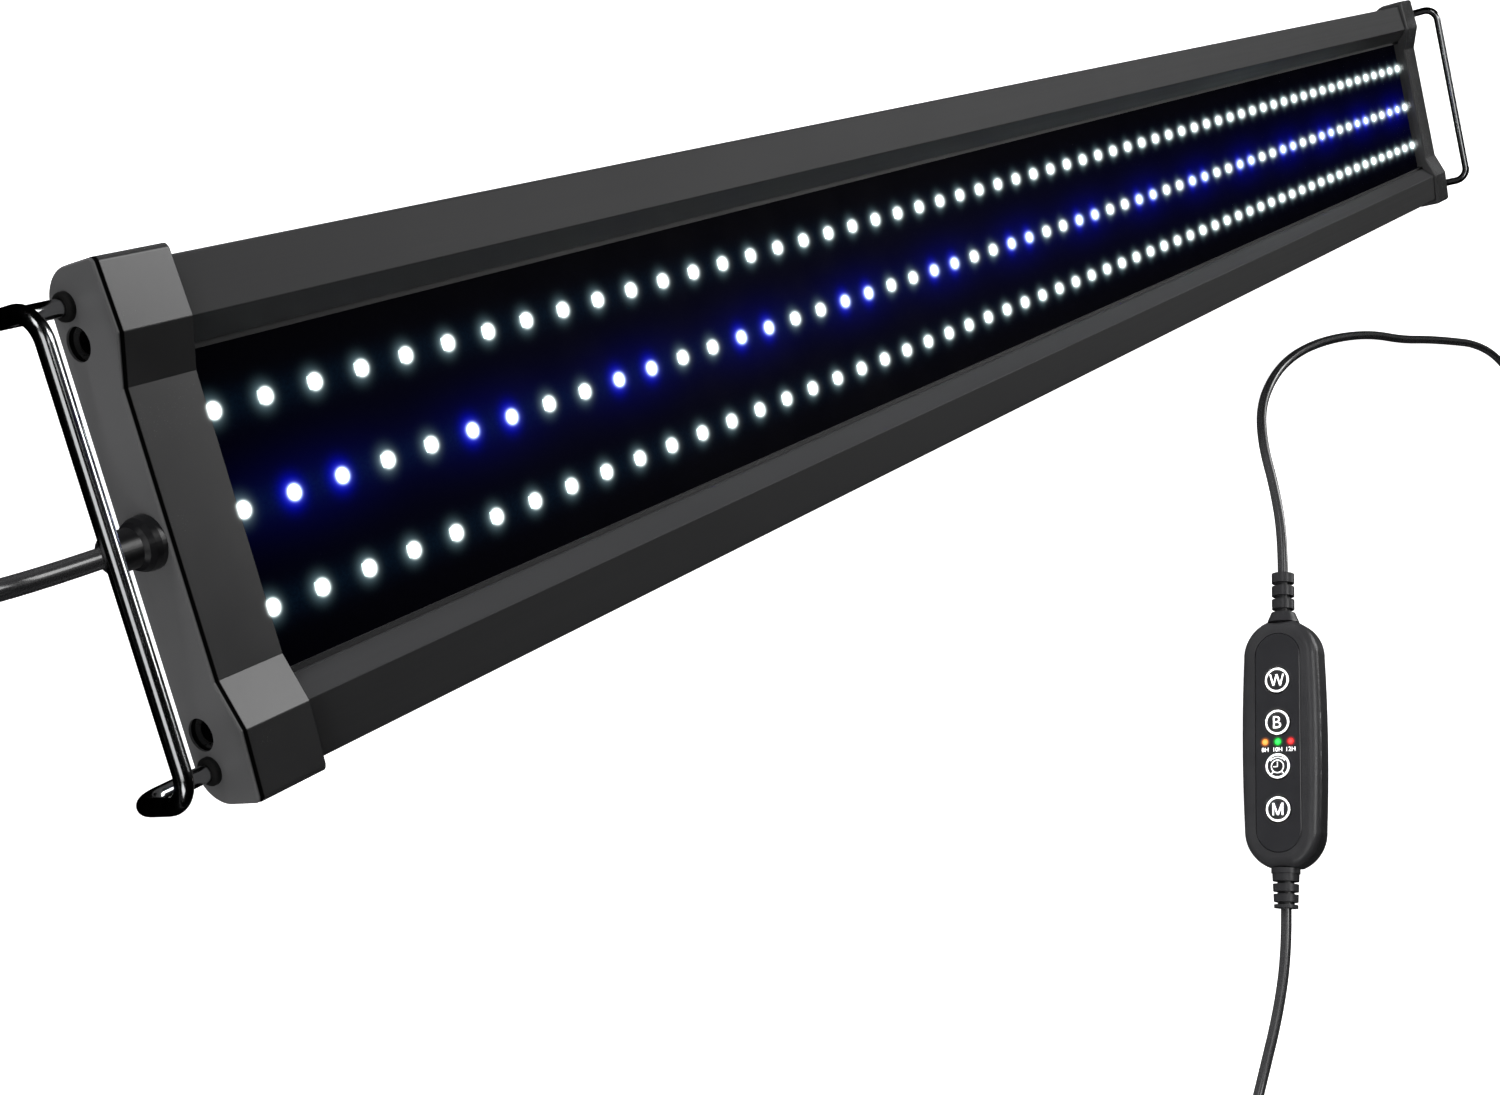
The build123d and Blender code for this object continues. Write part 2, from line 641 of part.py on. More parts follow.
def supply_tail():
    """The short straight end from the coil to the plug."""
    return Pos(PLUG_X, (COIL_Y + PLUG_REAR_Y) / 2, PLUG_Z) * Rot(90, 0, 0) * Cylinder(CORD_RADIUS, 26.0)


def on_plug_axis(profile):
    """A solid turned about the plug's axis from (radius, distance from the plug's rear) points."""
    face = outline([(r, -a) for r, a in profile])
    return Pos(PLUG_X, PLUG_REAR_Y, PLUG_Z) * revolve(face, Axis.Y)


def plug_grip():
    profile = [(0, 0), (2.9, 0), (3.9, 9.0), (4.6, 10.0), (5.5, 12.5)]
    for start in (14.0, 17.0, 20.0, 23.0):
        profile += [(5.5, start), (5.1, start + 0.4), (5.1, start + 1.4), (5.5, start + 1.8)]
    profile += [(5.5, 29.0), (4.9, 30.5), (0, 30.5)]
    return on_plug_axis(profile)


def plug_barrel():
    """The 5.5 mm contact sleeve."""
    return on_plug_axis([(2.2, 30.5), (2.75, 30.5), (2.75, 40.0), (2.2, 40.0)])


def plug_insulator():
    """The liner inside the sleeve, with the 2.1 mm socket."""
    return on_plug_axis([(0, 30.5), (2.15, 30.5), (2.15, 39.8), (1.05, 39.8), (1.05, 31.0), (0, 31.0)])


# ---- write every node ------------------------------------------------------------------------------------
def nodes():
    yield "housing", housing()
    yield "led_board", led_board()
    yield "white_leds", leds("white")
    yield "blue_leds", leds("blue")
    yield "cover_lens", cover_lens()
    yield "left_end_cap", end_cap(with_gland=True)
    yield "right_end_cap", to_right(end_cap(with_gland=False))
    yield "left_end_plate", end_plate(with_gland=True)
    yield "right_end_plate", to_right(end_plate(with_gland=False))
    for name, make in (
        ("gasket", gasket),
        ("cap_screws", cap_screws),
        ("bushes", bushes),
        ("bracket", bracket),
        ("guides", guides),
    ):
        piece = make()
        yield "left_" + name, piece
        yield "right_" + name, to_right(piece)
    yield "cable_gland", cable_gland()
    yield "gland_locknut", gland_locknut()
    yield "inner_leads", inner_leads()
    yield "board_terminal", board_terminal()

    place = box_plane()
    yield "controller_front", place * controller_front()
    yield "controller_back", place * controller_back()
    yield "controller_face", place * controller_face()
    for name, y in BUTTONS.items():
        yield name, place * button(y)
    for name, x in INDICATORS.items():
        yield name, place * indicator(x)
    yield "controller_board", place * controller_board()
    yield "tact_switches", place * tact_switches()
    yield "indicator_chips", place * indicator_chips()
    yield "controller_screws", place * controller_screws()
    yield "upper_strain_relief", place * upper_strain_relief()
    yield "lower_strain_relief", place * lower_strain_relief()

    yield "light_cord", light_cord()
    yield "supply_cord", supply_cord()
    yield "supply_coil", supply_coil()
    yield "cord_tie", cord_tie()
    yield "supply_tail", supply_tail()
    yield "plug_grip", plug_grip()
    yield "plug_barrel", plug_barrel()
    yield "plug_insulator", plug_insulator()


os.makedirs("parts", exist_ok=True)
for name, shape in nodes():
    export_step(shape, f"parts/{name}.step")
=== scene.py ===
"""LED aquarium light: bar, wire feet and controller, with lit LEDs, printed marks and the free cords."""

import math

import bmesh
import bpy
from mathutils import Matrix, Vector


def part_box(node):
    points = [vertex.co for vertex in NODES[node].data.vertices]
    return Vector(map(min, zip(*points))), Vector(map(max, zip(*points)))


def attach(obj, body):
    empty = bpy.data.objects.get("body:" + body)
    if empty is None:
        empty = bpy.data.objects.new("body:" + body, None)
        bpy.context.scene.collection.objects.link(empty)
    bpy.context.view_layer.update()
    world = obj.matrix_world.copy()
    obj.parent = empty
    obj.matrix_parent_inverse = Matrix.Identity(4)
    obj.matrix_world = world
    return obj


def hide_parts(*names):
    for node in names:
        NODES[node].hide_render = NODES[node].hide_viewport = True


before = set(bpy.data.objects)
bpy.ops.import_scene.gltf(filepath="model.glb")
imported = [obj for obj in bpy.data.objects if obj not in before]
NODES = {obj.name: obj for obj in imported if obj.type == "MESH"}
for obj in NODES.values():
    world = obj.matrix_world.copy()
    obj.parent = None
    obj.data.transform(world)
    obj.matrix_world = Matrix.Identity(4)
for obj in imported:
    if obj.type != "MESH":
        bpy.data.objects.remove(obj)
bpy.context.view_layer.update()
MM = 0.001

# ---- camera ----------------------------------------------------------------------------------------------
SENSOR_WIDTH, FOCAL_LENGTH = 36.0, 46.69  # millimetres
CAMERA_PLACE = (-0.716527, 0.033372, 0.346773)
CAMERA_TURN = (10.1808, -52.9213, -24.3259)  # degrees about X, then Y, then Z


def make_camera():
    data = bpy.data.cameras.new("camera")
    data.sensor_width, data.lens = SENSOR_WIDTH, FOCAL_LENGTH
    data.clip_start, data.clip_end = 0.02, 60.0
    camera = bpy.data.objects.new("camera", data)
    camera.location = CAMERA_PLACE
    camera.rotation_euler = [math.radians(angle) for angle in CAMERA_TURN]
    bpy.context.scene.collection.objects.link(camera)
    bpy.context.scene.camera = camera


make_camera()

# ---- cords: the same routes as the CAD tubes, in metres --------------------------------------------------
CORD_RADIUS = 0.00225
LIGHT_ROUTE = [
    (-0.4775, 0.0, 0.0085),
    (-0.494, 0.0, 0.0085),
    (-0.515, 0.0015, 0.0102),
    (-0.538, -0.004, 0.0068),
    (-0.560, -0.018, 0.0030),
    (-0.577, -0.046, 0.0024),
    (-0.5775, -0.074, 0.0024),
    (-0.565, -0.101, 0.0024),
    (-0.541, -0.123, 0.0024),
    (-0.505, -0.141, 0.0024),
    (-0.461, -0.158, 0.0024),
    (-0.414, -0.184, 0.0024),
    (-0.366, -0.205, 0.0024),
    (-0.318, -0.239, 0.0024),
    (-0.268, -0.262, 0.0024),
    (-0.220, -0.291, 0.0024),
    (-0.176, -0.324, 0.0024),
    (-0.136, -0.356, 0.0024),
    (-0.097, -0.385, 0.0024),
    (-0.062, -0.399, 0.0024),
    (-0.033, -0.389, 0.0036),
    (-0.012, -0.368, 0.0080),
    (0.004, -0.345, 0.0144),
    (0.01752, -0.32344, 0.01785),
    (0.02652, -0.30785, 0.01785),
]
SUPPLY_ROUTE = [
    (0.10062, -0.17950, 0.01785),
    (0.10962, -0.16392, 0.01785),
    (0.121, -0.1445, 0.0144),
    (0.135, -0.126, 0.0076),
    (0.153, -0.1115, 0.0032),
    (0.178, -0.102, 0.0024),
    (0.208, -0.098, 0.0024),
    (0.246, -0.099, 0.0024),
    (0.290, -0.104, 0.0024),
    (0.335, -0.112, 0.0024),
    (0.381, -0.124, 0.0024),
    (0.427, -0.133, 0.0024),
    (0.472, -0.143, 0.0024),
    (0.515, -0.153, 0.0024),
    (0.556, -0.168, 0.0024),
    (0.589, -0.190, 0.0026),
]
COIL_CENTRE = (0.592, -0.232)
COIL_ENTRY = 50.0  # degrees round the centre; the turns run clockwise from there
COIL_TURNS, POINTS_PER_TURN = 5, 18
COIL_RADIUS, TURN_GAP = 0.0295, 0.0045
LOWER_LAYER, UPPER_LAYER = 0.00285, 0.0071
STEPS_IN = ((295, 345), (655, 705))  # degrees along the coil between which it moves in by a turn
CLIMB = (960, 1025)
STEPS_OUT = ((1215, 1270), (1575, 1630))
PLUG_AXIS_X, PLUG_REAR_Y, PLUG_Z = 0.6215, -0.258, 0.0055


def ramp(s, start, end):
    """0 before start, 1 after end, smooth in between."""
    t = min(1.0, max(0.0, (s - start) / (end - start)))
    return t * t * (3 - 2 * t)


def coil_points():
    """Three turns inwards on the floor, a climb, then outwards again on top, to the plug's side."""
    step = 360.0 / POINTS_PER_TURN
    outside = 1.0 / (0.75 + 0.25 * math.cos(math.radians(step)))  # the spline cuts inside its points
    s, end = 6.0, COIL_TURNS * 360.0 + COIL_ENTRY - 4.0  # clear of the points before and after the coil
    points = []
    while s < end:
        moved_in = sum(ramp(s, *span) for span in STEPS_IN) - sum(ramp(s, *span) for span in STEPS_OUT)
        radius = (COIL_RADIUS - TURN_GAP * moved_in) * outside
        z = LOWER_LAYER + (UPPER_LAYER - LOWER_LAYER) * ramp(s, *CLIMB)
        a = math.radians(COIL_ENTRY - s)
        points.append((COIL_CENTRE[0] + radius * math.cos(a), COIL_CENTRE[1] + radius * math.sin(a), z))
        s += step
    tail = [
        (PLUG_AXIS_X, COIL_CENTRE[1] + 0.001, 0.0070),
        (PLUG_AXIS_X, COIL_CENTRE[1] - 0.008, 0.0066),
        (PLUG_AXIS_X, COIL_CENTRE[1] - 0.017, 0.0056),
        (PLUG_AXIS_X, PLUG_REAR_Y, PLUG_Z),
    ]
    return points + tail


def cord_curve(name, points):
    """A round cord as a smooth NURBS tube with these control points."""
    curve = bpy.data.curves.new(name, "CURVE")
    curve.dimensions = "3D"
    curve.bevel_depth = 1.0  # each point's radius is the cord's
    curve.bevel_resolution = 6
    curve.resolution_u = 8
    curve.use_fill_caps = True
    spline = curve.splines.new("NURBS")
    spline.points.add(len(points) - 1)
    for point, place in zip(spline.points, points):
        point.co = (*place, 1.0)
        point.radius = CORD_RADIUS
    spline.order_u = 3
    spline.use_endpoint_u = True
    cord = bpy.data.objects.new(name, curve)
    bpy.context.scene.collection.objects.link(cord)
    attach(cord, "root")
    return cord


light_cord = cord_curve("light_flex", LIGHT_ROUTE)
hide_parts("light_cord")
supply_cord = cord_curve("supply_flex", SUPPLY_ROUTE + coil_points())
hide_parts("supply_cord", "supply_coil", "supply_tail")


# ---- shader helpers --------------------------------------------------------------------------------------
def new_material(name):
    material = bpy.data.materials.new(name)
    material.use_nodes = True
    tree = material.node_tree
    return material, tree, tree.nodes["Principled BSDF"]


def link(tree, a, b):
    tree.links.new(a, b)


def set_sockets(shader, **values):
    """Give the shader's own sockets values that are the same all over; an underscore stands for a space."""
    for key, value in values.items():
        shader.inputs[key.replace("_", " ")].default_value = value


def math_node(tree, operation, a, b=None, c=None):
    """A Math node; a, b and c are sockets or numbers."""
    node = tree.nodes.new("ShaderNodeMath")
    node.operation = operation
    for socket, value in zip(node.inputs, (a, b, c)):
        if value is None:
            continue
        if isinstance(value, (int, float)):
            socket.default_value = value
        else:
            link(tree, value, socket)
    return node.outputs[0]


def place_of(tree):
    """The shaded point in the row frame, in metres: every node's object sits at the origin."""
    return tree.nodes.new("ShaderNodeTexCoord").outputs["Object"]


def noise(tree, scale, detail=3.0, roughness=0.55, vector=None):
    node = tree.nodes.new("ShaderNodeTexNoise")
    node.inputs["Scale"].default_value = scale
    node.inputs["Detail"].default_value = detail
    node.inputs["Roughness"].default_value = roughness
    link(tree, vector or place_of(tree), node.inputs["Vector"])
    return node.outputs["Fac"]


def cells(tree, scale):
    """The distance to the nearest point of a Voronoi texture: round bumps packed side by side."""
    node = tree.nodes.new("ShaderNodeTexVoronoi")
    node.inputs["Scale"].default_value = scale
    link(tree, place_of(tree), node.inputs["Vector"])
    return node.outputs["Distance"]


def stretched(tree, scale):
    """The place scaled by a different amount along each axis."""
    node = tree.nodes.new("ShaderNodeVectorMath")
    node.operation = "MULTIPLY"
    link(tree, place_of(tree), node.inputs[0])
    node.inputs[1].default_value = scale
    return node.outputs[0]


def remap(tree, value, low, high, to_low, to_high, smooth=False):
    node = tree.nodes.new("ShaderNodeMapRange")
    node.interpolation_type = "SMOOTHSTEP" if smooth else "LINEAR"
    link(tree, value, node.inputs["Value"])
    for key, number in (("From Min", low), ("From Max", high), ("To Min", to_low), ("To Max", to_high)):
        node.inputs[key].default_value = number
    return node.outputs["Result"]


def varied(tree, grain, low, high):
    """A noise, which lies mostly between 0.3 and 0.7, stretched to run from low to high."""
    return remap(tree, grain, 0.3, 0.7, low, high)


def bell(tree, value, width, power=2.0):
    """1 where the value is 0, falling off as exp(-(value / width) ** power)."""
    raised = math_node(tree, "POWER", math_node(tree, "DIVIDE", value, width), power)
    return math_node(tree, "EXPONENT", math_node(tree, "MULTIPLY", -1.0, raised))


def coordinates(tree):
    """The X, Y and Z sockets of the shaded point."""
    split = tree.nodes.new("ShaderNodeSeparateXYZ")
    link(tree, place_of(tree), split.inputs[0])
    return split.outputs


def distance_to(tree, point):
    node = tree.nodes.new("ShaderNodeVectorMath")
    node.operation = "DISTANCE"
    link(tree, place_of(tree), node.inputs[0])
    node.inputs[1].default_value = point
    return node.outputs["Value"]


def light_sum(tree, glows):
    """The sum of the glows, from (amount, colour) pairs."""
    total = None
    for amount, colour in glows:
        scaled = tree.nodes.new("ShaderNodeVectorMath")
        scaled.operation = "SCALE"
        scaled.inputs[0].default_value = colour
        link(tree, amount, scaled.inputs["Scale"])
        if total is None:
            total = scaled.outputs[0]
            continue
        both = tree.nodes.new("ShaderNodeVectorMath")
        both.operation = "ADD"
        link(tree, total, both.inputs[0])
        link(tree, scaled.outputs[0], both.inputs[1])
        total = both.outputs[0]
    return total


def mix_colour(tree, factor, a, b):
    """The mix of two colours; each is a socket or a plain (r, g, b)."""
    node = tree.nodes.new("ShaderNodeMix")
    node.data_type = "RGBA"
    link(tree, factor, node.inputs["Factor"])
    for socket, value in ((node.inputs[6], a), (node.inputs[7], b)):
        if isinstance(value, tuple):
            socket.default_value = (*value, 1.0)
        else:
            link(tree, value, socket)
    return node.outputs[2]


def bump(tree, shader, height, strength, distance):
    node = tree.nodes.new("ShaderNodeBump")
    node.inputs["Strength"].default_value = strength
    node.inputs["Distance"].default_value = distance
    link(tree, height, node.inputs["Height"])
    link(tree, node.outputs["Normal"], shader.inputs["Normal"])


def seam_mask(tree, x, half_width):
    """0 in the seams at +x and -x, and 1 away from them."""
    from_middle = math_node(tree, "ABSOLUTE", coordinates(tree)["X"])
    far = math_node(tree, "ABSOLUTE", math_node(tree, "SUBTRACT", from_middle, x))
    return remap(tree, far, half_width * 0.5, half_width, 0.0, 1.0, smooth=True)


# painted shade: the near-black painted into a seam where parts meet
SEAM_SHADE = (0.001, 0.001, 0.001)


def moulded(name, colour, rough, grain, depth, mottle=0.25, specular=0.5, metallic=0.0, seam=None):
    """Moulded or cast matter: fine grain, slight mottling of colour and roughness, and painted shade in a
    seam: dark there, with its gloss taken away.
    """
    material, tree, shader = new_material(name)
    cloud = noise(tree, 60.0, 4.0)
    fine = noise(tree, grain, 2.0)
    darker = tuple(c * (1 - mottle) for c in colour)
    lighter = tuple(min(1.0, c * (1 + mottle)) for c in colour)
    tone = mix_colour(tree, cloud, darker, lighter)
    sheen = varied(tree, cloud, rough - 0.08 * mottle, rough + 0.08 * mottle)
    link(tree, math_node(tree, "ADD", sheen, varied(tree, fine, -0.03, 0.03)), shader.inputs["Roughness"])
    set_sockets(shader, Metallic=metallic, Specular_IOR_Level=specular)
    if seam:
        # painted shade in the seam: darker colour and less gloss towards it
        unshaded = seam_mask(tree, *seam)
        tone = mix_colour(tree, unshaded, SEAM_SHADE, tone)
        link(tree, math_node(tree, "MULTIPLY", unshaded, specular), shader.inputs["Specular IOR Level"])
    link(tree, tone, shader.inputs["Base Color"])
    bump(tree, shader, fine, depth, 0.00005)
    return material


def anodised():
    """Black anodised extrusion: die lines along X over a fine satin blast."""
    material, tree, shader = new_material("anodised_housing")
    lines = noise(tree, 900.0, 3.0, 0.6, stretched(tree, (0.01, 1.0, 1.0)))
    blast = noise(tree, 5200.0, 2.0)
    cloud = noise(tree, 25.0, 4.0)
    tone = math_node(tree, "MULTIPLY", math_node(tree, "ADD", lines, cloud), 0.5)
    link(tree, mix_colour(tree, tone, (0.017, 0.017, 0.0175), (0.026, 0.026, 0.027)),
         shader.inputs["Base Color"])
    link(tree, varied(tree, tone, 0.38, 0.47), shader.inputs["Roughness"])
    set_sockets(shader, Specular_IOR_Level=0.11)
    height = math_node(tree, "ADD", math_node(tree, "MULTIPLY", lines, 0.6),
                       math_node(tree, "MULTIPLY", blast, 0.4))
    bump(tree, shader, height, 0.10, 0.00004)
    return material


def polished_steel():
    """Drawn and polished stainless wire, with faint draw lines and slight waviness."""
    material, tree, shader = new_material("wire_steel")
    fine = noise(tree, 1500.0, 2.0, 0.5, stretched(tree, (0.05, 0.05, 1.0)))
    wave = noise(tree, 45.0, 2.0)
    link(tree, mix_colour(tree, wave, (0.44, 0.445, 0.455), (0.54, 0.545, 0.555)),
         shader.inputs["Base Color"])
    link(tree, varied(tree, fine, 0.13, 0.20), shader.inputs["Roughness"])
    set_sockets(shader, Metallic=1.0)
    bump(tree, shader, wave, 0.05, 0.0004)
    return material


def sheath():
    """Glossy soft PVC cord sheath, with faint pulls and waviness."""
    material, tree, shader = new_material("cord_sheath")
    wave = noise(tree, 70.0, 3.0)
    fine = noise(tree, 2600.0, 2.0)
    link(tree, mix_colour(tree, wave, (0.016, 0.016, 0.017), (0.024, 0.024, 0.025)),
         shader.inputs["Base Color"])
    link(tree, varied(tree, fine, 0.24, 0.32), shader.inputs["Roughness"])
    set_sockets(shader, Coat_Weight=1.0, Coat_Roughness=0.14)
    bump(tree, shader, math_node(tree, "ADD", wave, math_node(tree, "MULTIPLY", fine, 0.05)), 0.08, 0.0003)
    return material


def grained_shell():
    """Controller shell: pebbled spark-eroded grain."""
    material, tree, shader = new_material("controller_shell")
    pebbles = cells(tree, 1150.0)
    fine = noise(tree, 2400.0, 3.0)
    cloud = noise(tree, 90.0, 3.0)
    link(tree, mix_colour(tree, cloud, (0.011, 0.011, 0.012), (0.020, 0.020, 0.021)),
         shader.inputs["Base Color"])
    link(tree, remap(tree, pebbles, 0.0, 0.8, 0.42, 0.30), shader.inputs["Roughness"])
    set_sockets(shader, Specular_IOR_Level=0.5)
    bump(tree, shader, math_node(tree, "ADD", pebbles, math_node(tree, "MULTIPLY", fine, 0.5)), 0.35, 0.00012)
    return material


# ---- LED glow --------------------------------------------------------------------------------------------
LED_PITCH, ROW_SPACING, LEDS_PER_ROW = 0.015, 0.0222, 60
WHITE_HALO, WHITE_HALO_RADIUS = (0.14, 0.24, 0.27), 0.0026
BLUE_HALO, BLUE_HALO_RADIUS = (0.0, 0.0, 1.0), 0.0030
BLUE_HAZE, BLUE_HAZE_WIDTH = (0.0, 0.0, 0.036), 0.0078  # along the middle row
BLUE_WASH, BLUE_WASH_WIDTH = (0.0, 0.0, 0.004), 0.021  # over the whole board
ROW_HAZE, ROW_HAZE_WIDTH = (0.0008, 0.0045, 0.0095), 0.0038  # along every row
BOARD_HALF_LENGTH = 0.45
FAR_END_GAIN = 4.0  # how much stronger the blue light on the board is at the far end than at the near one
PAIR_SHARE = 0.32  # how much of the blue haze comes and goes with the blue pairs


def nearest(tree, value, spacing, first):
    """Where a value lies among evenly spaced places, the nearest one's number, and the distance to it."""
    at = math_node(tree, "ADD", math_node(tree, "DIVIDE", value, spacing), first)
    number = math_node(tree, "ROUND", at)
    return at, number, math_node(tree, "MULTIPLY", math_node(tree, "SUBTRACT", at, number), spacing)


def board_material():
    """Black solder mask, with painted light: the light that the LEDs throw round themselves is painted onto
    it as a glow.
    """
    material, tree, shader = new_material("board_black")
    weave = noise(tree, 1600.0, 2.0)
    link(tree, mix_colour(tree, weave, (0.0004, 0.0004, 0.0010), (0.0012, 0.0012, 0.0022)),
         shader.inputs["Base Color"])
    set_sockets(shader, Roughness=0.7, Specular_IOR_Level=0.0, Emission_Strength=1.0)

    place = coordinates(tree)
    along, column, off_x = nearest(tree, place["X"], LED_PITCH, (LEDS_PER_ROW - 1) / 2)
    _, row, off_y = nearest(tree, place["Y"], ROW_SPACING, 0.0)
    far = math_node(tree, "SQRT", math_node(tree, "ADD", math_node(tree, "POWER", off_x, 2.0),
                                            math_node(tree, "POWER", off_y, 2.0)))
    # of each four LEDs in the middle row, the second and third are blue
    in_middle = math_node(tree, "COMPARE", row, 0.0, 0.1)
    second_or_third = math_node(tree, "COMPARE", math_node(tree, "FLOORED_MODULO", column, 4.0), 1.5, 0.6)
    blue = math_node(tree, "MULTIPLY", in_middle, second_or_third)
    white = math_node(tree, "SUBTRACT", 1.0, blue)

    from_pair = math_node(tree, "MULTIPLY", math_node(tree, "SUBTRACT", along, 1.5), math.pi / 2)
    swing = math_node(tree, "MULTIPLY", math_node(tree, "COSINE", from_pair), PAIR_SHARE)
    strength = math_node(tree, "ADD", 1.0 - PAIR_SHARE, swing)
    haze = math_node(tree, "MULTIPLY", strength, bell(tree, place["Y"], BLUE_HAZE_WIDTH))
    gain = remap(tree, place["X"], -BOARD_HALF_LENGTH, BOARD_HALF_LENGTH, 1.0, FAR_END_GAIN)
    row_haze = math_node(tree, "MULTIPLY", bell(tree, off_y, ROW_HAZE_WIDTH), varied(tree, weave, 0.6, 1.2))
    # painted light: halos round each LED, the hazes and the wash are painted on as emission, stronger towards
    # the far end
    glows = (
        (math_node(tree, "MULTIPLY", white, bell(tree, far, WHITE_HALO_RADIUS)), WHITE_HALO),
        (math_node(tree, "MULTIPLY", blue, bell(tree, far, BLUE_HALO_RADIUS)), BLUE_HALO),
        (math_node(tree, "MULTIPLY", haze, gain), BLUE_HAZE),
        (math_node(tree, "MULTIPLY", bell(tree, place["Y"], BLUE_WASH_WIDTH), gain), BLUE_WASH),
        (row_haze, ROW_HAZE),
    )
    link(tree, light_sum(tree, glows), shader.inputs["Emission Color"])
    return material


def glowing(name, colour, strength):
    """Lit silicone or phosphor, faintly speckled where its own light doesn't drown it."""
    material, tree, shader = new_material(name)
    speck = noise(tree, 3000.0, 2.0)
    link(tree, mix_colour(tree, speck, tuple(c * 0.9 for c in colour), colour), shader.inputs["Base Color"])
    set_sockets(shader, Roughness=0.3, Emission_Color=(*colour, 1.0), Emission_Strength=strength)
    return material


def paint(obj, *materials):
    obj.data.materials.clear()
    for material in materials:
        obj.data.materials.append(material)


def paint_node(name, material):
    node = NODES[name]
    if node.material_slots:
        for item in node.material_slots:
            item.material = material
    else:
        node.data.materials.append(material)


# ---- mesh helpers ----------------------------------------------------------------------------------------
def mesh_object(name, vertices, faces, body, smooth=False):
    mesh = bpy.data.meshes.new(name)
    mesh.from_pydata(vertices, [], faces)
    mesh.update()
    if smooth:
        mesh.polygons.foreach_set("use_smooth", [True] * len(mesh.polygons))
    obj = bpy.data.objects.new(name, mesh)
    bpy.context.scene.collection.objects.link(obj)
    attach(obj, body)
    return obj


def lathe(profile, around):
    """Vertices and faces of a surface turned about Z from (radius, z) points; a radius of 0 closes it."""
    vertices, faces, rings = [], [], []
    for radius, z in profile:
        if radius < 1e-9:
            rings.append([len(vertices)])
            vertices.append((0.0, 0.0, z))
            continue
        rings.append(list(range(len(vertices), len(vertices) + around)))
        for k in range(around):
            a = 2 * math.pi * k / around
            vertices.append((radius * math.cos(a), radius * math.sin(a), z))
    for low, high in zip(rings, rings[1:]):
        for k in range(around):
            n = (k + 1) % around
            if len(low) == 1:
                faces.append((low[0], high[n], high[k]))
            elif len(high) == 1:
                faces.append((low[k], low[n], high[0]))
            else:
                faces.append((low[k], low[n], high[n], high[k]))
    return vertices, faces


# one LED package, in millimetres
LED_HALF, LED_HEIGHT, LED_BEVEL = 1.6, 0.62, 0.1
LED_CUT, LED_MARK = 0.2, 0.55  # each corner's cut, and how much more is cut from the marked one
DOME = ((1.90, -0.02), (1.88, 0.05), (1.72, 0.09), (1.62, 0.14), (1.40, 0.30), (1.05, 0.42), (0.60, 0.50),
        (0.0, 0.53))  # radius, and height over the package
DOME_SIDES, RIM_BANDS = 20, 2  # the dome's lowest bands are its rim, which has the body's colour
BLUE_SIZE = 0.95
BODY_SLOT, DOME_SLOT = 0, 1


def led_unit():
    """One package from the board's top up: a bevelled body with a marked corner, a rim and a domed lens."""
    vertices, faces, loops = [], [], []
    for inset, z in ((0.0, 0.0), (0.0, LED_HEIGHT - LED_BEVEL), (LED_BEVEL, LED_HEIGHT)):
        h, cut = LED_HALF - inset, LED_CUT
        mark = cut + LED_MARK
        loop = [(-h, -h + cut), (-h + cut, -h), (h - cut, -h), (h, -h + cut), (h, h - mark), (h - mark, h),
                (-h + cut, h), (-h, h - cut)]
        loops.append(range(len(vertices), len(vertices) + len(loop)))
        vertices += [(a, b, z) for a, b in loop]
    for low, high in zip(loops, loops[1:]):
        sides = len(low)
        faces += [(low[k], low[(k + 1) % sides], high[(k + 1) % sides], high[k]) for k in range(sides)]
    faces += [tuple(loops[-1]), tuple(reversed(loops[0]))]
    slots = [BODY_SLOT] * len(faces)
    base = len(vertices)
    dome_vertices, dome_faces = lathe([(radius, LED_HEIGHT + z) for radius, z in DOME], DOME_SIDES)
    vertices += dome_vertices
    faces += [tuple(base + v for v in face) for face in dome_faces]
    rim_faces = RIM_BANDS * DOME_SIDES
    slots += [BODY_SLOT] * rim_faces + [DOME_SLOT] * (len(dome_faces) - rim_faces)
    return vertices, faces, slots


def led_rows(name, blue, node, body_material, dome_material):
    """All packages of one colour as one piece."""
    unit_vertices, unit_faces, unit_slots = led_unit()
    board_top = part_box("led_board")[1].z
    size = MM * (BLUE_SIZE if blue else 1.0)
    vertices, faces, slots = [], [], []
    for row in (1, 0, -1):
        for i in range(LEDS_PER_ROW):
            if blue != (row == 0 and i % 4 in (1, 2)):
                continue
            x, y = (i - (LEDS_PER_ROW - 1) / 2) * LED_PITCH, row * ROW_SPACING
            base = len(vertices)
            vertices += [(x + a * size, y + b * size, board_top + c * size) for a, b, c in unit_vertices]
            faces += [tuple(base + v for v in face) for face in unit_faces]
            slots += unit_slots
    piece = mesh_object(name, vertices, faces, "root")
    paint(piece, body_material, dome_material)
    piece.data.polygons.foreach_set("material_index", slots)
    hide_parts(node)


led_rows("white_led_packages", False, "white_leds",
         glowing("white_led_body", (0.70, 1.0, 0.95), 0.4),
         glowing("white_led_dome", (0.94, 1.0, 0.99), 7.0))
led_rows("blue_led_packages", True, "blue_leds",
         glowing("blue_led_body", (0.01, 0.02, 1.0), 1.2),
         glowing("blue_led_dome", (0.72, 0.82, 1.0), 8.5))


# ---- materials of the bar --------------------------------------------------------------------------------
def clear_lens():
    """Thin clear cover, slightly smeared, that hardly shows."""
    material, tree, shader = new_material("clear_lens")
    smear = noise(tree, 60.0, 3.0)
    link(tree, mix_colour(tree, smear, (0.001, 0.001, 0.002), (0.003, 0.003, 0.005)),
         shader.inputs["Base Color"])
    link(tree, varied(tree, smear, 0.25, 0.35), shader.inputs["Roughness"])
    set_sockets(shader, Specular_IOR_Level=0.05, Alpha=0.03)
    return material
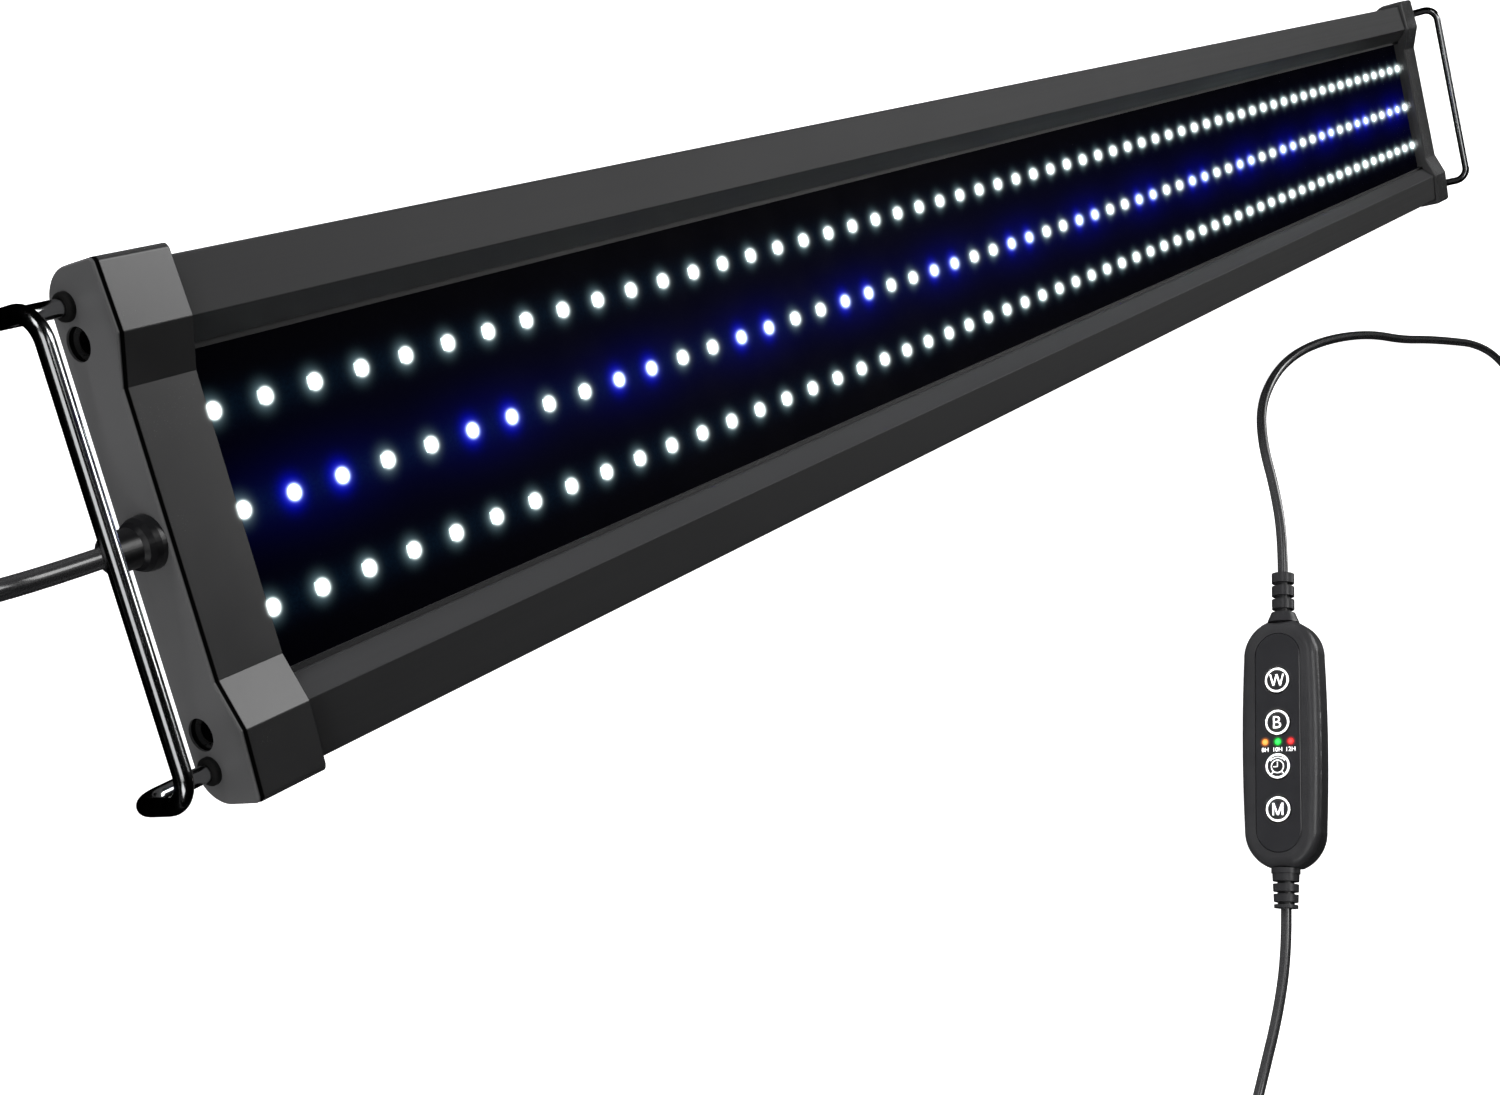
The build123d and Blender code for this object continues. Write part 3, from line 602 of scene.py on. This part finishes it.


# the caps' seam gets painted shade this wide
CAP_SEAM = (0.4659, 0.0007)  # where plate and collar meet, and how far its shadow reaches
cap_material = moulded("cap_plastic", (0.022, 0.022, 0.0225), 0.24, 3600.0, 0.05, 0.10, seam=CAP_SEAM)
plate_material = moulded("plate_plastic", (0.040, 0.040, 0.041), 0.42, 3600.0, 0.12, 0.10, seam=CAP_SEAM)
rubber_material = moulded("seal_rubber", (0.012, 0.012, 0.012), 0.65, 1800.0, 0.3)
bush_material = moulded("bush_rubber", (0.003, 0.003, 0.003), 0.6, 1800.0, 0.25, specular=0.2)
gland_material = moulded("gland_rubber", (0.003, 0.003, 0.0035), 0.34, 1500.0, 0.02, 0.04, specular=0.65)
relief_material = moulded("relief_rubber", (0.012, 0.012, 0.013), 0.36, 1700.0, 0.2)
nylon_material = moulded("guide_nylon", (0.50, 0.49, 0.46), 0.45, 1500.0, 0.2, 0.08)
lead_material = moulded("lead_insulation", (0.35, 0.03, 0.025), 0.4, 1500.0, 0.1)
screw_material = moulded("screw_steel", (0.005, 0.005, 0.0055), 0.5, 2500.0, 0.15, 0.15, metallic=1.0)
steel_material = polished_steel()
cord_material = sheath()

paint_node("housing", anodised())
paint_node("led_board", board_material())
paint_node("cover_lens", clear_lens())
for side in ("left", "right"):
    paint_node(side + "_end_cap", cap_material)
    paint_node(side + "_end_plate", plate_material)
    paint_node(side + "_gasket", rubber_material)
    paint_node(side + "_cap_screws", screw_material)
    paint_node(side + "_bushes", bush_material)
    paint_node(side + "_bracket", steel_material)
    paint_node(side + "_guides", nylon_material)
paint_node("cable_gland", gland_material)
paint_node("gland_locknut", nylon_material)
paint_node("inner_leads", lead_material)
paint_node("board_terminal", nylon_material)
paint(light_cord, cord_material)
paint(supply_cord, cord_material)

# ---- the controller --------------------------------------------------------------------------------------
# It stands on its long edge. Its own frame, in millimetres: x across, y towards its upper end, z out of its
# face, from the middle of its back.
BOX_TURN = math.radians(60.0)
BOX_X = Vector((0.0, 0.0, 1.0))
BOX_Y = Vector((math.cos(BOX_TURN), math.sin(BOX_TURN), 0.0))
BOX_Z = Vector((-math.sin(BOX_TURN), math.cos(BOX_TURN), 0.0))
BOX_MIDDLE = Vector((0.062, -0.246, 0.01785))  # like the cords, halfway through its depth
BOX_HALF_DEPTH = 0.0072
BOX_BACK = BOX_MIDDLE - BOX_Z * BOX_HALF_DEPTH
FACE_TOP = 14.6
KEYS = {"white": 27.1, "blue": 8.3, "timer": -10.9, "mode": -29.7}  # y of each key
DOTS = {"orange": -5.8, "green": 0.0, "red": 5.8}  # x of each indicator
DOT_Y = -0.2
GLOWS = {"orange": (1.0, 0.28, 0.03), "green": (0.0, 0.9, 0.06), "red": (1.0, 0.01, 0.01)}


def box_place(x, y, z):
    """A point of the controller's own frame, in the row frame, in metres."""
    return BOX_BACK + (BOX_X * x + BOX_Y * y + BOX_Z * z) * MM


def face_material():
    """Satin black inlay, with the little light that it catches from the three indicators painted on as a
    glow.
    """
    material, tree, shader = new_material("controller_face")
    cloud = noise(tree, 120.0, 3.0)
    fine = noise(tree, 4200.0, 2.0)
    link(tree, mix_colour(tree, cloud, (0.009, 0.009, 0.010), (0.013, 0.013, 0.0145)),
         shader.inputs["Base Color"])
    link(tree, varied(tree, fine, 0.30, 0.38), shader.inputs["Roughness"])
    bump(tree, shader, fine, 0.08, 0.00004)
    # painted light: a coloured glow painted round each indicator
    glows = []
    for colour, x in DOTS.items():
        far = distance_to(tree, box_place(x, DOT_Y, FACE_TOP))
        glows.append((bell(tree, far, 0.0017, 4.0), GLOWS[colour]))
    link(tree, light_sum(tree, glows), shader.inputs["Emission Color"])
    set_sockets(shader, Emission_Strength=0.8)
    return material


def indicator_material(colour):
    """A lit light pipe, brightest in its middle."""
    material, tree, shader = new_material("indicator_" + colour)
    glow = GLOWS[colour]
    edge = remap(tree, distance_to(tree, box_place(DOTS[colour], DOT_Y, FACE_TOP)), 0.0004, 0.0015, 0.0, 1.0)
    middle_colour = tuple(min(1.0, c + 0.10) for c in glow)
    edge_colour = tuple(c * 0.45 for c in glow)
    link(tree, mix_colour(tree, edge, middle_colour, edge_colour), shader.inputs["Emission Color"])
    set_sockets(shader, Emission_Strength=1.0, Base_Color=(*(c * 0.5 for c in glow), 1.0), Roughness=0.25)
    return material


shell_material = grained_shell()
key_material = moulded("button_black", (0.010, 0.010, 0.011), 0.30, 3500.0, 0.08)
paint_node("controller_front", shell_material)
paint_node("controller_back", shell_material)
paint_node("controller_face", face_material())
for name in KEYS:
    paint_node(name + "_button", key_material)
for colour in DOTS:
    paint_node(colour + "_indicator", indicator_material(colour))
paint_node("controller_board", moulded("board_green", (0.02, 0.14, 0.05), 0.4, 1500.0, 0.2))
paint_node("tact_switches", moulded("switch_grey", (0.25, 0.25, 0.25), 0.45, 1500.0, 0.2))
paint_node("indicator_chips", glowing("chip_white", (0.9, 0.9, 0.9), 0.6))
paint_node("controller_screws", screw_material)
paint_node("upper_strain_relief", relief_material)
paint_node("lower_strain_relief", relief_material)

KEY_PROFILE = ((0.0, 15.25), (3.0, 15.20), (5.35, 15.05), (5.7, 14.75))  # radius and height of a key's crown
PRINT_RAISE = 0.06
INK_THICKNESS = 0.00005


def key_height(r):
    """The height of a key's crowned top at radius r."""
    for (r0, z0), (r1, z1) in zip(KEY_PROFILE, KEY_PROFILE[1:]):
        if r <= r1:
            return z0 + (z1 - z0) * (r - r0) / (r1 - r0)
    return KEY_PROFILE[-1][1]


def stroke(points, width, closed=False):
    """Vertices and faces of a flat line of that width through the points."""
    vertices, faces = [], []
    count = len(points)
    for k, (x, y) in enumerate(points):
        before = points[k - 1] if k or closed else points[0]
        after = points[(k + 1) % count] if k < count - 1 or closed else points[-1]
        tx, ty = after[0] - before[0], after[1] - before[1]
        size = math.hypot(tx, ty)
        nx, ny = -ty / size * width / 2, tx / size * width / 2
        vertices += [(x + nx, y + ny), (x - nx, y - ny)]
    for k in range(count if closed else count - 1):
        a, b = 2 * k, 2 * ((k + 1) % count)
        faces.append((a, a + 1, b + 1, b))
    return vertices, faces


def circle(x, y, radius, start=0.0, end=360.0, parts=40):
    steps = parts if end - start >= 360 else parts + 1
    return [(x + radius * math.cos(math.radians(start + (end - start) * k / parts)),
             y + radius * math.sin(math.radians(start + (end - start) * k / parts))) for k in range(steps)]


def letters(text, size, x, y):
    """Vertices and faces of flat letters centred on a point, in millimetres; size is a capital's height."""
    curve = bpy.data.curves.new("text", "FONT")
    curve.body = text
    curve.size = 1.0
    curve.align_x = "CENTER"
    curve.resolution_u = 6
    holder = bpy.data.objects.new("text", curve)
    bpy.context.scene.collection.objects.link(holder)
    bpy.context.view_layer.update()
    mesh = bpy.data.meshes.new_from_object(holder.evaluated_get(bpy.context.evaluated_depsgraph_get()))
    ys = [v.co.y for v in mesh.vertices]
    xs = [v.co.x for v in mesh.vertices]
    scale = size / (max(ys) - min(ys))
    mid_x, mid_y = (max(xs) + min(xs)) / 2, (max(ys) + min(ys)) / 2
    vertices = [(x + (v.co.x - mid_x) * scale, y + (v.co.y - mid_y) * scale) for v in mesh.vertices]
    faces = [tuple(p.vertices) for p in mesh.polygons]
    bpy.data.objects.remove(holder)
    bpy.data.meshes.remove(mesh)
    return vertices, faces


def printed(name, parts, body, height, material):
    """Printed marks on the controller: flat parts in its x-y plane, laid on a surface of that height."""
    vertices, faces = [], []
    for part_vertices, part_faces in parts:
        base = len(vertices)
        vertices += [tuple(box_place(x, y, height(x, y) + PRINT_RAISE)) for x, y in part_vertices]
        faces += [tuple(base + v for v in face) for face in part_faces]
    piece = mesh_object(name, vertices, faces, body)
    bm = bmesh.new()
    bm.from_mesh(piece.data)
    bmesh.ops.recalc_face_normals(bm, faces=bm.faces)
    for face in bm.faces:
        if face.normal.dot(BOX_Z) < 0:
            face.normal_flip()
    bm.to_mesh(piece.data)
    bm.free()
    thick = piece.modifiers.new("ink", "SOLIDIFY")
    thick.thickness = INK_THICKNESS
    thick.offset = -1.0
    paint(piece, material)


def ink_material():
    """White printing ink, with a little light of its own so that thin lines stay white."""
    material = moulded("white_ink", (0.86, 0.86, 0.86), 0.45, 3000.0, 0.05, 0.03)
    shader = material.node_tree.nodes["Principled BSDF"]
    set_sockets(shader, Emission_Color=(1.0, 1.0, 1.0, 1.0), Emission_Strength=0.35)
    return material


def clock_marks(y):
    """An alarm clock: a ring, two hands, two bells with their handles and bridge, and two feet."""
    line = 0.42
    made = [
        stroke(circle(0, y - 0.25, 2.75), line, closed=True),
        stroke([(0.0, y + 1.75), (0.0, y - 0.35), (-1.85, y - 0.35)], line),
        stroke(circle(0, y - 0.25, 3.95, 62, 118, 10), line),
    ]
    for side in (-1, 1):
        made += [
            stroke([(side * 3.3, y + 2.25), (side * 2.2, y + 3.35), (side * 1.75, y + 2.95)], line),
            stroke([(side * 3.5, y + 2.9), (side * 2.9, y + 2.3)], line),
            stroke([(side * 1.9, y - 2.45), (side * 2.75, y - 3.4)], line),
        ]
    return made


def bars(y, height, spans, width):
    """Slanted bars with level ends, from (x at the foot, x at the top) pairs."""
    parts, made = 8, []
    for foot, top in spans:
        w = width / 2 * math.hypot(1.0, (top - foot) / height)
        vertices = []
        for k in range(parts + 1):
            at = foot + (top - foot) * k / parts
            vertices += [(at - w, y + height * (k / parts - 0.5)), (at + w, y + height * (k / parts - 0.5))]
        made.append((vertices, [(2 * k, 2 * k + 1, 2 * k + 3, 2 * k + 2) for k in range(parts)]))
    return made


def key_mark(key, y):
    """What is printed inside a key's ring."""
    if key == "white":
        return bars(y, 5.1, [(-1.55, -2.95), (-1.55, 0.0), (1.55, 0.0), (1.55, 2.95)], 0.68)
    if key == "mode":
        return bars(y, 5.3, [(-2.1, -2.1), (0.0, -2.0), (0.0, 2.0), (2.1, 2.1)], 0.72)
    return [letters("B", 5.3, 0, y)] if key == "blue" else clock_marks(y)


ink = ink_material()
for key, key_y in KEYS.items():
    ring = stroke(circle(0, key_y, 5.0, parts=72), 0.82, closed=True)
    printed(key + "_key_marks", [ring] + key_mark(key, key_y), key + "_key",
            lambda x, y, key_y=key_y: key_height(math.hypot(x, y - key_y)), ink)
hours = [letters(text, 1.9, x, -3.6) for text, x in (("8H", -5.8), ("10H", 0.0), ("12H", 5.9))]
printed("hour_marks", hours, "root", lambda x, y: FACE_TOP, ink)

# ---- plug and tie ----------------------------------------------------------------------------------------
paint_node("plug_grip", moulded("plug_plastic", (0.014, 0.014, 0.015), 0.38, 1700.0, 0.25))
paint_node("plug_barrel", moulded("plug_metal", (0.62, 0.61, 0.58), 0.18, 2600.0, 0.05, 0.05, metallic=1.0))
paint_node("plug_insulator", nylon_material)


def strap_material():
    """Black hook-and-loop strap: a dull looped pile over a weave."""
    material, tree, shader = new_material("tie_strap")
    pile = noise(tree, 5200.0, 3.0, 0.7)
    link(tree, mix_colour(tree, pile, (0.006, 0.006, 0.006), (0.022, 0.022, 0.022)),
         shader.inputs["Base Color"])
    set_sockets(shader, Roughness=0.92, Sheen_Weight=0.2, Sheen_Roughness=0.5)
    height = math_node(tree, "ADD", cells(tree, 1900.0), math_node(tree, "MULTIPLY", pile, 0.8))
    bump(tree, shader, height, 0.6, 0.00012)
    return material


# the strap, in millimetres
STRAP_CENTRE = ((COIL_CENTRE[0] - COIL_RADIUS + TURN_GAP) / MM, 5.1)  # x and z of the bundle's middle
STRAP_REACH = (8.05, 5.1)  # half width and half height of the loop's middle line
SQUARENESS = 0.45  # the exponent of a superellipse's cosine and sine: 1 is an ellipse, 0 a rectangle
STRAP_HALF_WIDTH, STRAP_THICKNESS, STRAP_BEVEL = 2.0, 0.55, 0.25
STRAP_STEPS, OVERLAP_STEPS = 72, 17
STRAP_END = math.radians(70.0)  # where round the loop the strap's two ends are
OVERLAP_GROWTH = 0.055  # how much further out the free end lies
OVERLAP_RISE = 2.2  # it is fully out after 1 / 2.2 of the overlap


def strap():
    """A strap pulled round the bundle of turns on the coil's -X side, its free end laid over itself."""
    loop = []
    for k in range(STRAP_STEPS + OVERLAP_STEPS):
        a = 2 * math.pi * k / STRAP_STEPS + STRAP_END
        over = max(0.0, (k - STRAP_STEPS + 1) / (OVERLAP_STEPS - 1))
        grow = 1.0 + OVERLAP_GROWTH * min(1.0, over * OVERLAP_RISE)
        c, d = math.cos(a), math.sin(a)
        loop.append((STRAP_CENTRE[0] + STRAP_REACH[0] * grow * math.copysign(abs(c) ** SQUARENESS, c),
                     STRAP_CENTRE[1] + STRAP_REACH[1] * grow * math.copysign(abs(d) ** SQUARENESS, d)))
    edge, inner = STRAP_HALF_WIDTH, STRAP_HALF_WIDTH - STRAP_BEVEL
    section = [(-edge, 0.0), (-inner, 0.5), (inner, 0.5), (edge, 0.0), (inner, -0.5), (-inner, -0.5)]
    vertices, faces = [], []
    for k, (x, z) in enumerate(loop):
        before, after = loop[max(0, k - 1)], loop[min(len(loop) - 1, k + 1)]
        tx, tz = after[0] - before[0], after[1] - before[1]
        size = math.hypot(tx, tz) or 1.0
        nx, nz = tz / size, -tx / size
        for y, t in section:
            vertices.append(((x + nx * t * STRAP_THICKNESS) * MM, COIL_CENTRE[1] + y * MM,
                             max(0.0, z + nz * t * STRAP_THICKNESS) * MM))
    count = len(section)
    for k in range(len(loop) - 1):
        for j in range(count):
            n = (j + 1) % count
            faces.append((k * count + j, k * count + n, (k + 1) * count + n, (k + 1) * count + j))
    faces.append(tuple(range(count)))
    faces.append(tuple(reversed(range((len(loop) - 1) * count, len(loop) * count))))
    piece = mesh_object("cord_strap", vertices, faces, "root", smooth=True)
    paint(piece, strap_material())
    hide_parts("cord_tie")
    return piece


cord_strap = strap()

PLUG_PIECES = [NODES[name] for name in ("plug_grip", "plug_barrel", "plug_insulator", "cord_tie")]
PLUG_PIECES.append(cord_strap)


# ---- floor, lights and world -----------------------------------------------------------------------------
FLOOR_HALF, FLOOR_GAP = 9.0, 0.00005


def floor():
    """A white floor that nothing glossy mirrors."""
    h = FLOOR_HALF
    mesh = bpy.data.meshes.new("floor")
    mesh.from_pydata([(-h, -h, 0), (h, -h, 0), (h, h, 0), (-h, h, 0)], [], [(0, 1, 2, 3)])
    obj = bpy.data.objects.new("floor", mesh)
    obj.location.z = -FLOOR_GAP
    bpy.context.scene.collection.objects.link(obj)
    material, _, shader = new_material("floor_white")
    set_sockets(shader, Base_Color=(0.8, 0.8, 0.8, 1.0), Roughness=0.9, Specular_IOR_Level=0.0)
    set_sockets(shader, Emission_Color=(1.0, 1.0, 1.0, 1.0), Emission_Strength=1.0)
    mesh.materials.append(material)
    obj.visible_glossy = False


NEAR_CAP = (-0.457, 0, 0)
NEAR_PLATE = (-0.488, 0, 0.025)
LOWER_HOOK, UPPER_HOOK = (-0.5, -0.06, 0.02), (-0.5, 0.06, 0.02)  # the near foot's two bends
MIDDLE = (0, 0, 0)
LIGHTS = (  # name, place, aim, width, height, watts, and whether gloss mirrors it
    # three large ones far behind the far end, low enough for the bar's facets to mirror them to the camera
    ("key", (5.857, -0.26, 4.8), NEAR_CAP, 1.7, 2.4, 78.0, True),  # middle facets, lower rail
    ("side", (4.56, 2.23, 5.7), NEAR_CAP, 3.0, 2.4, 128.0, True),  # upper facets, near part of the upper rail
    ("skim", (6.43, 1.72, 3.5), NEAR_CAP, 1.7, 1.2, 32.0, True),  # far part of the upper rail
    ("top", (-0.5, 0.0, 3.0), NEAR_CAP, 3.0, 2.5, 2.0, False),
    ("front", (-2.35, 0.05, 1.75), NEAR_PLATE, 2.4, 1.5, 13.0, True),  # end plate, bright lines on the wire
    ("hook_low", (-1.3, -0.9, 0.5), LOWER_HOOK, 0.6, 0.5, 1.6, True),
    ("hook_high", (-1.2, 1.1, 0.6), UPPER_HOOK, 0.6, 0.5, 1.8, True),
    ("box", (-0.28, 0.2, 1.4), BOX_MIDDLE, 0.7, 0.5, 0.4, True),  # the controller
    ("low", (-0.2, 2.4, 0.26), MIDDLE, 3.0, 0.25, 185.0, False),  # what faces +Y, such as the rails' slopes
    ("fill", (-2.4, -0.3, 0.4), MIDDLE, 1.6, 0.6, 48.0, False),  # what faces -X
)
BOX_LIGHT_SPREAD = 45.0  # degrees


def make_lights():
    for name, place, aim, width, height, watts, mirrored in LIGHTS:
        data = bpy.data.lights.new(name, "AREA")
        data.shape = "RECTANGLE"
        data.size, data.size_y = width, height
        data.energy = watts
        if name == "box":
            data.spread = math.radians(BOX_LIGHT_SPREAD)
        obj = bpy.data.objects.new(name, data)
        obj.location = place
        obj.rotation_euler = (Vector(aim) - Vector(place)).to_track_quat("-Z", "Y").to_euler()
        obj.visible_glossy = mirrored
        bpy.context.scene.collection.objects.link(obj)


def make_world():
    """White behind everything for the camera's eye only: it lights nothing."""
    world = bpy.data.worlds.new("world")
    world.use_nodes = True
    background = world.node_tree.nodes["Background"]
    background.inputs["Color"].default_value = (1.0, 1.0, 1.0, 1.0)
    background.inputs["Strength"].default_value = 1.0
    world.cycles_visibility.glossy = False
    world.cycles_visibility.diffuse = False
    world.cycles_visibility.transmission = False
    bpy.context.scene.world = world


floor()
make_lights()
make_world()

BLOOM_THRESHOLD = 2.5  # the white floor stays below it
BLOOM_BLURS = ((5.0, 1.7), (11.0, 0.09))  # radius in pixels, and strength


def lens_bloom():
    """The camera's own bloom round the lit LEDs."""
    scene = bpy.context.scene
    scene.use_nodes = True
    tree = scene.node_tree
    image = tree.nodes["Render Layers"].outputs["Image"]

    def mixed(blend, amount, a, b):
        node = tree.nodes.new("CompositorNodeMixRGB")
        node.blend_type = blend
        node.inputs[0].default_value = amount
        for socket, value in zip(node.inputs[1:], (a, b)):
            if isinstance(value, tuple):
                socket.default_value = value
            else:
                tree.links.new(value, socket)
        return node.outputs[0]

    threshold = (BLOOM_THRESHOLD, BLOOM_THRESHOLD, BLOOM_THRESHOLD, 0.0)
    over = mixed("SUBTRACT", 1.0, image, threshold)
    over = mixed("LIGHTEN", 1.0, over, (0.0, 0.0, 0.0, 0.0))
    for radius, amount in BLOOM_BLURS:
        blur = tree.nodes.new("CompositorNodeBlur")
        blur.filter_type = "GAUSS"
        blur.inputs["Size"].default_value = (radius, radius)
        tree.links.new(over, blur.inputs["Image"])
        image = mixed("ADD", amount, image, blur.outputs["Image"])
    tree.links.new(image, tree.nodes["Composite"].inputs["Image"])


lens_bloom()
bpy.context.scene.view_settings.view_transform = "Standard"

bpy.context.view_layer.update()
